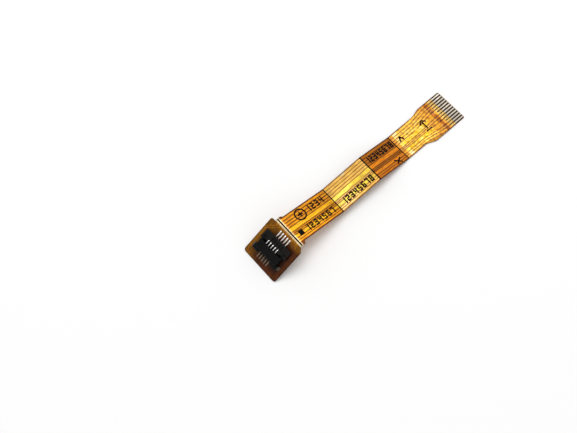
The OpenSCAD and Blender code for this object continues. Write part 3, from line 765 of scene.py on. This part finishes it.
def metal_material(name, tone, roughness, metallic=1.0, shaded_to=None):
    """Plated metal with faint clouds and hair scratches, darkened by painted shade up to the X place that its
    last argument gives.
    """
    made, tree, shader = plain_material(name)
    noise = wear(tree, 700.0, 12000.0, 1400.0)
    mixed = clouded(tree, noise, 0.35, 0.68, tone, 0.78)
    if shaded_to is not None:
        # Painted shade on the front tails: dark grey brown up to that X place
        front_shade = math_node(tree, "LESS_THAN", object_place(tree)["X"], shaded_to)
        mixed = mix_colour(tree, front_shade, mixed, (0.22, 0.16, 0.11))
    rough = plus(tree, cloudy(tree, noise, roughness, roughness + 0.14), times(tree, noise["Scratch"], 0.12))
    dress(tree, shader, {"Base Color": mixed, "Metallic": metallic, "Roughness": rough,
                         "Normal": bump(tree, noise["Grain"], 0.2)})
    return made


def conductor_material():
    """Copper under the films, tinned where it lies bare at the fingers and the solder pads, in a darker
    tin that paints shade. The fingers are duller towards -Y and dark along their sides."""
    made, tree, shader = plain_material("track_copper")
    c, layout = colours(), the_layout()
    noise = wear(tree, 600.0, 12000.0, 1200.0)
    place = object_place(tree)
    x_bare, x_head = (float(layout.path.points(s, 0.0, 0.0)[0])
                      for s in (layout.bare, layout.pad_edge - 0.4))
    bare = math_node(tree, "GREATER_THAN", place["X"], x_bare - 0.02 * MM)
    tinned = math_node(tree, "MAXIMUM", bare, math_node(tree, "LESS_THAN", place["X"], x_head))
    # Painted shade: the darker copy of the tin
    tin = clouded(tree, noise, 0.4, 0.65, c.shaded_tin, 0.7)
    tin = mix_colour(tree, ranged(tree, place["Y"], -5.5 * MM, 4.5 * MM), scaled(c.shaded_tin, 0.66), tin)
    # Distance from the middle of the nearest finger, in millimetres
    across = math_node(tree, "SUBTRACT", place["Y"], layout.finger_y(0) * MM)
    nearest = math_node(tree, "FRACT", plus(tree, math_node(tree, "DIVIDE", across, MM), 20.5))
    offset = math_node(tree, "ABSOLUTE", math_node(tree, "SUBTRACT", nearest, 0.5))
    worn = times(tree, bare, ranged(tree, offset, 0.16, 0.23, 0, 0.95))
    tin = mix_colour(tree, worn, tin, (0.045, 0.030, 0.020))
    rough = plus(tree, cloudy(tree, noise, 0.42, 0.55), times(tree, noise["Scratch"], 0.15))
    dress(tree, shader, {"Base Color": mix_colour(tree, tinned, c.copper, tin), "Metallic": 1.0,
                         "Roughness": rough, "Normal": bump(tree, noise["Grain"], 0.2)})
    return made


def plastic_material(name, tone, roughness):
    """Moulded plastic with a fine matt skin."""
    made, tree, shader = plain_material(name)
    noise = wear(tree, 500.0, 9000.0, 1500.0)
    pale = ranged(tree, noise["Cloud"], 0.4, 0.7, 0, 0.6)
    mixed = mix_colour(tree, pale, tone, scaled(tone, 1.8, 0.001))
    mixed = mix_colour(tree, times(tree, noise["Scratch"], 0.35), mixed, scaled(tone, 2.2, 0.01))
    dress(tree, shader, {"Base Color": mixed, "Roughness": cloudy(tree, noise, roughness, roughness + 0.12),
                         "Specular IOR Level": 0.07, "Normal": bump(tree, noise["Grain"], 0.35)})
    return made


def plate_material(name, tone):
    """A backing plate or adhesive of amber laminate, cloudy with a fine grain."""
    made, tree, shader = plain_material(name)
    noise = wear(tree, 260.0, 7000.0, 700.0)
    dress(tree, shader, {"Base Color": clouded(tree, noise, 0.35, 0.65, tone, 0.72), "Coat Weight": 0.2,
                         "Roughness": cloudy(tree, noise, 0.36, 0.5),
                         "Normal": bump(tree, noise["Grain"], 0.3)})
    return made


@functools.cache
def ink_material():
    """Matt ink, a little worn."""
    made, tree, shader = plain_material("printed_ink")
    noise = wear(tree, 900.0, 16000.0, 1500.0)
    worn = ranged(tree, noise["Grain"], 0.5, 0.75, 0, 0.15)
    dress(tree, shader, {"Base Color": mix_colour(tree, worn, colours().ink, (0.06, 0.03, 0.01)),
                         "Roughness": cloudy(tree, noise, 0.6, 0.75), "Specular IOR Level": 0.04,
                         "Normal": bump(tree, noise["Grain"], 0.2)})
    return made


@functools.cache
def the_layout():
    """The layout of this cable, worked out once."""
    return Layout(sizes(), Path(sizes()))


# ---------------------------------------------------------------- pieces

def film_lines(layout, fine):
    """Places along and across the film where the grid has its lines: close together on the head
    and the fingers, and on both sides of each track's edge."""
    p, path = layout.p, layout.path
    start4 = path.at(4, path.tangents[4])
    s = [np.arange(0, 1.6, 0.1), np.arange(1.6, layout.pad_edge - 1.4, 0.2),
         np.arange(layout.pad_edge - 1.4, layout.pad_edge, 0.1),
         [layout.pad_edge, layout.pad_edge + 0.004]]
    for row, after in zip(path.rows, [*path.rows[1:, 0], path.end]):
        lines = 9 if row[4] else max(2, int((after - row[0]) / 0.6) + 1)
        s.append(np.linspace(row[0], after, lines))
    s += [np.arange(start4 + 1, path.end - 0.6, 0.24), np.arange(path.end - 0.6, path.end, 0.06)]
    s += [[w for pad in layout.pads for w in (pad[0] + WINDOW_RIM, pad[1] - WINDOW_RIM)]]
    s += [path.at(1, path.tangents[1]) + np.linspace(0, NECK_TAPER, 8), [layout.bare, path.end]]
    s = np.unique(np.round(np.concatenate([np.asarray(v, float) for v in s]), 5))
    edges = np.concatenate([layout.track_y - TRACK_W / 2, layout.track_y + TRACK_W / 2])
    y = [np.arange(-p.head_w / 2, p.head_w / 2 + 0.01, 0.12 if fine else 0.16)]
    if fine:
        y += [edges - 0.02, edges + 0.02,
              [layout.contact_y(c) + d for c in range(COUNT) for d in (-WINDOW_HALF, WINDOW_HALF)]]
    y = np.unique(np.round(np.concatenate([np.asarray(v, float) for v in y]), 3))
    keep = np.concatenate([[True], np.diff(y) > 0.02])
    return s, y[keep]


def film_sheet(name, layout, is_cover):
    """One film as a grid over the flat outline, laid on the path. A point's track value is 1 over
    copper and 0 in a gap. The cover film lies on the copper, shows the tracks' relief, has windows
    over the solder pads, a finer grid and the creases; the base film faces down."""
    height, end, relief = ((layout.film, layout.bare, layout.p.relief) if is_cover
                           else (0.0, layout.path.end, 0.0))
    s, y = film_lines(layout, is_cover)
    s = s[s <= end + 1e-9]
    left, right = layout.sides(s)
    grid_s, grid_y = np.meshgrid(s, y, indexing="ij")
    grid_y = np.clip(grid_y, right[:, None], left[:, None])
    track = ease(0.5 - (layout.copper(grid_s, grid_y) + 0.025) / 0.08)
    tone, crinkle = layout.paint(grid_s, grid_y, track)
    creased = layout.ripple(grid_s, grid_y) if is_cover else 0.0
    points = layout.path.points(grid_s, grid_y, height + relief * track + creased).reshape(-1, 3)
    faces = grid_faces(len(s), len(y))
    quad = points[faces]
    area = np.linalg.norm(np.cross(quad[:, 2] - quad[:, 0], quad[:, 3] - quad[:, 1]), axis=1)
    middle_s = grid_s.reshape(-1)[faces].mean(1)
    middle_y = grid_y.reshape(-1)[faces].mean(1)
    keep = area > 1e-13
    if is_cover:
        for c, (x0, x1) in enumerate(layout.pads):
            keep &= ~((middle_s > x0 + WINDOW_RIM) & (middle_s < x1 - WINDOW_RIM)
                      & (np.abs(middle_y - layout.contact_y(c)) < WINDOW_HALF))
    faces = faces[keep]
    if not is_cover:
        faces = faces[:, ::-1]
    flat = np.stack([grid_s.reshape(-1), grid_y.reshape(-1)], -1) * 10 * MM
    return new_sheet(name, points, faces, {"track": track.reshape(-1), "crinkle": crinkle.reshape(-1),
                                           "tone": tone.reshape(-1, 3)}, flat)


class CABLE_OT_films(bpy.types.Operator):
    """Makes the cover film and the base film"""
    bl_idname = "cable.films"
    bl_label = "Films"

    def execute(self, context):
        layout = the_layout()
        cover = film_sheet("film_cover", layout, True)
        solidify(cover, layout.p.cover_t)
        amber = film_material("amber_film", 0.08)
        finish_piece(cover, fixed_body(), "polyimide_cover", amber, "cover_film")
        base = film_sheet("film_base", layout, False)
        solidify(base, layout.p.base_t)
        under = film_material("under_film", 0.0)
        finish_piece(base, fixed_body(), "polyimide_base", under, "base_film")
        return {"FINISHED"}


def fixed_body():
    """The body that carries the base film."""
    return frame["nodes"]["base_film"]["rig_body"]


def backdrop_rays(tree):
    """1 for the rays that show the plain background: camera, glossy and transmission rays."""
    path = add(tree, "ShaderNodeLightPath").outputs
    seen = math_node(tree, "MAXIMUM", path["Is Camera Ray"], path["Is Glossy Ray"])
    return math_node(tree, "MAXIMUM", seen, path["Is Transmission Ray"])


def aimed(data, place, target):
    """A camera or lamp at place, turned so that its -Z axis points at target."""
    holder = bpy.data.objects.new(data.name, data)
    bpy.context.scene.collection.objects.link(holder)
    holder.location = place.tolist()
    holder.rotation_euler = Vector((target - place).tolist()).to_track_quat("-Z", "Y").to_euler()
    return holder


class CABLE_OT_stage(bpy.types.Operator):
    """Makes the floor, the soft lamp and the camera"""
    bl_idname = "cable.stage"
    bl_label = "Stage"

    def execute(self, context):
        self.make_floor()
        self.make_sky(context.scene)
        lamp = bpy.data.lights.new("softbox", "AREA")
        lamp.shape = "SQUARE"
        lamp.size = LAMP_SIZE
        lamp.energy = LAMP_ENERGY
        direction = np.array(LAMP_DIRECTION)
        aimed(lamp, direction / np.linalg.norm(direction) * LAMP_DISTANCE, np.zeros(3))
        camera = bpy.data.cameras.new("view")
        camera.sensor_width = SENSOR_W
        camera.lens = LENS
        camera.clip_start, camera.clip_end = CLIP
        context.scene.camera = aimed(camera, CAMERA_AT, CAMERA_TO)
        context.scene.view_settings.view_transform = "Standard"
        return {"FINISHED"}

    def make_floor(self):
        """A plain floor that keeps the shadow near the object and is seen as white far from it."""
        t = np.linspace(-FLOOR_REACH, FLOOR_REACH, 5)
        x, y = np.meshgrid(t, t, indexing="ij")
        z = np.full(x.shape, CAD_BOX[0][2] - FLOOR_DROP)
        points = np.stack([x, y, z], -1).reshape(-1, 3)
        floor = new_sheet("floor", points, grid_faces(5, 5))
        made, tree, shader = plain_material("studio_floor")
        dress(tree, shader, {"Base Color": colours().floor, "Roughness": 0.9, "Specular IOR Level": 0.0})
        place = add(tree, "ShaderNodeTexCoord").outputs["Object"]
        away = add(tree, "ShaderNodeVectorMath", {0: place}, operation="LENGTH").outputs["Value"]
        white = times(tree, ranged(tree, away, *FLOOR_WHITENS), backdrop_rays(tree))
        glow = add(tree, "ShaderNodeEmission").outputs["Emission"]
        both = add(tree, "ShaderNodeMixShader", {"Fac": white, 1: shader.outputs["BSDF"], 2: glow})
        dress(tree, tree.nodes["Material Output"], {"Surface": both.outputs["Shader"]})
        floor.data.materials.append(made)

    def make_sky(self, scene):
        """A grey world that lights the object and is seen as white."""
        world = bpy.data.worlds.new("studio")
        world.use_nodes = True
        sky = world.node_tree
        dress(sky, sky.nodes["Background"], {"Color": mix_colour(sky, backdrop_rays(sky), SKY_GREY, WHITE)})
        scene.world = world


class CABLE_OT_connector(bpy.types.Operator):
    """Finishes the connector's housing, lever, contacts, solder and tabs"""
    bl_idname = "cable.connector"
    bl_label = "Connector"

    def execute(self, context):
        c, layout = colours(), the_layout()
        # X place up to which the front contact tails get painted shade
        front = float(layout.path.points(4.2, 0.0, 0.5)[0])
        tin = metal_material("contact_tin", tuple(c.tin), 0.2, 0.8, front)
        solder = metal_material("solder_tin", (0.90, 0.90, 0.88), 0.3, 0.45)
        # Painted shade: dark grey solder on the front pads
        shaded_solder = metal_material("solder_grey", (0.20, 0.17, 0.14), 0.4)
        tab_tin = metal_material("tab_tin", (0.10, 0.08, 0.06), 0.5)
        black = plastic_material("housing_black", tuple(c.moulding), 0.38)
        grey = plastic_material("lever_grey", tuple(c.lever), 0.42)
        self.shell("connector_housing", "housing_shell", 0.05, black)
        self.shell("locking_lever", "lever_shell", 0.04, grey)
        for i in range(1, COUNT + 1):
            node = f"contact_{i:02d}"
            self.shell(node, node + "_shell", 0.025, tin)
            node = f"solder_{i:02d}"
            piece = solder_fillet(node + "_fillet", layout, i - 1)
            finish_piece(piece, fixed_body(), frame_slot(node), shaded_solder if i % 2 else solder, node)
        for node in ("hold_down_left", "hold_down_right"):
            self.shell(node, node + "_shell", 0.03, tab_tin)
        return {"FINISHED"}

    def shell(self, node, name, width, finish):
        """Shows a softened copy of a solid in its place, with a finish."""
        piece = softened(node, name, width)
        set_material(piece, finish)


def solder_fillet(name, layout, c):
    """Solder on a pad: its height falls off as e to the minus distance from the contact's foot, so
    it climbs the foot's sides and tip in a hollow curve and runs out thin at the pad's edges."""
    x0, x1 = layout.pad(c)
    half = 0.235
    foot = (1.9, 2.8) if c % 2 == 0 else (11.25, 12.75)
    x, y = np.meshgrid(np.linspace(x0 + 0.05, x1 - 0.05, 48), np.linspace(-half, half, 25), indexing="ij")
    dx = np.maximum(np.maximum(foot[0] - x, x - foot[1]), 0)
    dy = np.maximum(np.abs(y) - 0.1, 0)
    rim = np.minimum(np.minimum(x - x[0, 0], x[-1, 0] - x), half - np.abs(y))
    height = 0.02 * ease(rim / 0.04) + 0.15 * np.exp(-np.hypot(dx, dy) / 0.08) * ease(rim / 0.06)
    z = layout.film - 0.05 + SHEET_GAP + height
    points = layout.path.points(x, y + layout.contact_y(c), z).reshape(-1, 3)
    piece = new_sheet(name, points, grid_faces(*x.shape))
    solidify(piece, 0.004)
    return piece


def frame_slot(node):
    """The material slot that the record gives a node."""
    for row in frame["record"]["subparts"]:
        if row["node"] == node:
            return row["material_slot"]
    raise RuntimeError("no slot for " + node)


class CABLE_OT_conductors(bpy.types.Operator):
    """Finishes the copper tracks, the adhesive and the backing plates"""
    bl_idname = "cable.conductors"
    bl_label = "Tracks and plates"

    def execute(self, context):
        copper = conductor_material()
        for i in range(1, COUNT + 1):
            repaint(f"conductor_{i:02d}", copper)
        for node, name, tone in (("adhesive_film", "adhesive_amber", (0.30, 0.10, 0.015)),
                                 ("head_stiffener", "head_plate", (0.20, 0.075, 0.02)),
                                 ("tip_stiffener", "tip_plate", (0.62, 0.26, 0.04))):
            repaint(node, plate_material(name, tone))
        return {"FINISHED"}


class CABLE_OT_marks(bpy.types.Operator):
    """Prints the fold lines and plain marks on the cover film"""
    bl_idname = "cable.marks"
    bl_label = "Printed marks"

    def execute(self, context):
        layout = the_layout()
        path = layout.path
        parts = []
        for k in (1, 2, 3, 4):
            left, right = layout.sides(path.at(k, path.tangents[k]) + 0.2)
            parts.append(self.bar(path.at(k, 0) - 0.05, 0.42, float(right) + 0.03, float(left) - 0.03))
        self.make("fold_lines", layout, parts)
        s0, y0, thick = path.at(1, 6.75), 2.4, 0.46
        self.make("register_ring", layout, [
            self.ring(s0, y0, 1.6, 2.1), self.bar(s0, thick, y0 - 0.95, y0 + 0.95),
            *(self.bar(s0 + d, 0.74, y0 - thick / 2, y0 + thick / 2) for d in (-0.6, 0.6))])
        self.make("start_block", layout, [self.bar(path.at(1, 2.7), 1.7, -3.3, -1.5)])
        for n, (panel, u, y, *digits) in enumerate(COUNT_ROWS, 1):
            self.make(f"count_{n}", layout, self.count(path.at(panel, u), y, *digits))
        tip = path.at(4, 12.2)
        self.make("side_arrow", layout, [
            self.bar(tip, STROKE, -1.3, 1.7, 16),
            *(self.slant(tip + d * 0.1, 2.15, tip + d * 1.25, 0.9) for d in (-1, 1)),
            self.bar(tip + 0.1, 2.3, -2.1, -1.65, 6)])
        peak = path.at(4, 2.9)
        self.make("end_mark", layout, [
            self.slant(path.at(4, 2.1), 1.0, peak, 2.7), self.slant(path.at(4, 3.7), 1.0, peak, 2.7)])
        self.make("check_cross", layout, [self.slant(path.at(3, 8.6), -2.5, path.at(3, 10.9), -4.5),
                                          self.slant(path.at(3, 11.2), -2.7, path.at(3, 8.9), -4.3)])
        return {"FINISHED"}

    def count(self, s, y, last, pitch, width, height, stroke):
        """The numbers from 1 to last, side by side along the film."""
        made = []
        for n in range(last):
            made += self.digit(n + 1, s + n * pitch, y, width, height, stroke)
        return made

    def digit(self, n, s, y, w, h, t):
        """A digit of straight bars: three across it (low, middle, high) and four along its sides."""
        bars = DIGIT_BARS[n]
        level = {"d": y, "g": y + h / 2 - t / 2, "a": y + h - t}
        made = [self.bar(s + w / 2, w, level[k], level[k] + t) for k in "dga" if k in bars]
        middle = "g" in bars
        low = (y + t + DIGIT_CLEAR if "d" in bars else y,
               (level["g"] if middle else y + h / 2) - DIGIT_CLEAR)
        high = (level["g"] + t + DIGIT_CLEAR if middle else y + h / 2,
                level["a"] - DIGIT_CLEAR if "a" in bars else y + h)
        for keys, ends in (("ec", low), ("fb", high)):
            for key, side in zip(keys, (t / 2, w - t / 2)):
                if key in bars:
                    made.append(self.bar(s + side, t, *ends))
        return made

    def slant(self, s0, y0, s1, y1, width=STROKE):
        """A straight stroke between two places on the film."""
        t, w = np.meshgrid(np.linspace(0, 1, 12), np.linspace(-width / 2, width / 2, 3), indexing="ij")
        run = math.hypot(s1 - s0, y1 - y0)
        s = s0 + (s1 - s0) * t - (y1 - y0) / run * w
        return [s, y0 + (y1 - y0) * t + (s1 - s0) / run * w, False]

    def bar(self, s, width, y0, y1, rows=4):
        """A bar across the film, centred on s."""
        along, across = np.linspace(s - width / 2, s + width / 2, 5), np.linspace(y0, y1, rows)
        return [*np.meshgrid(along, across, indexing="ij"), False]

    def ring(self, s, y, r0, r1):
        """A ring: radius and angle on a grid whose last angle meets the first."""
        t = np.linspace(0, 2 * np.pi, 64, endpoint=False)
        turn, radius = np.meshgrid(t, np.linspace(r0, r1, 4), indexing="ij")
        return [s + radius * np.cos(turn), y + radius * np.sin(turn), True]

    def make(self, name, layout, parts):
        """Lays flat shapes on the cover film as one thin piece."""
        points, faces, first = [], [], 0
        for s, y, wrap in parts:
            height = layout.film + layout.p.relief + SHEET_GAP + layout.ripple(s, y)
            points.append(layout.path.points(s, y, height).reshape(-1, 3))
            faces.append(grid_faces(*s.shape, wrap) + first)
            first += s.size
        piece = new_sheet(name, np.concatenate(points), np.concatenate(faces))
        solidify(piece, INK_T)
        finish_piece(piece, fixed_body(), "housing_plastic", ink_material())


class CABLE_PT_panel(bpy.types.Panel):
    """Lists the steps that dress the cable"""
    bl_idname = "CABLE_PT_panel"
    bl_label = "Flexible Cable"
    bl_space_type = "VIEW_3D"
    bl_region_type = "UI"
    bl_category = "Cable"

    def draw(self, context):
        for step in STEPS:
            self.layout.operator(step.bl_idname)
        for group_name in ("cable_sizes", "cable_colours"):
            box = self.layout.box()
            settings = getattr(context.scene, group_name)
            for key in settings.__annotations__:
                box.prop(settings, key)


STEPS = [CABLE_OT_stage, CABLE_OT_films, CABLE_OT_conductors, CABLE_OT_connector, CABLE_OT_marks]
CLASSES = [CableSizes, CableColours, *STEPS, CABLE_PT_panel]


def register():
    for made in CLASSES:
        bpy.utils.register_class(made)
    bpy.types.Scene.cable_sizes = bpy.props.PointerProperty(type=CableSizes)
    bpy.types.Scene.cable_colours = bpy.props.PointerProperty(type=CableColours)


def unregister():
    del bpy.types.Scene.cable_colours
    del bpy.types.Scene.cable_sizes
    for made in reversed(CLASSES):
        bpy.utils.unregister_class(made)


def main():
    register()
    for step in STEPS:
        area, name = step.bl_idname.split(".")
        getattr(getattr(bpy.ops, area), name)()
    bpy.context.view_layer.update()


if __name__ == "__main__":
    main()
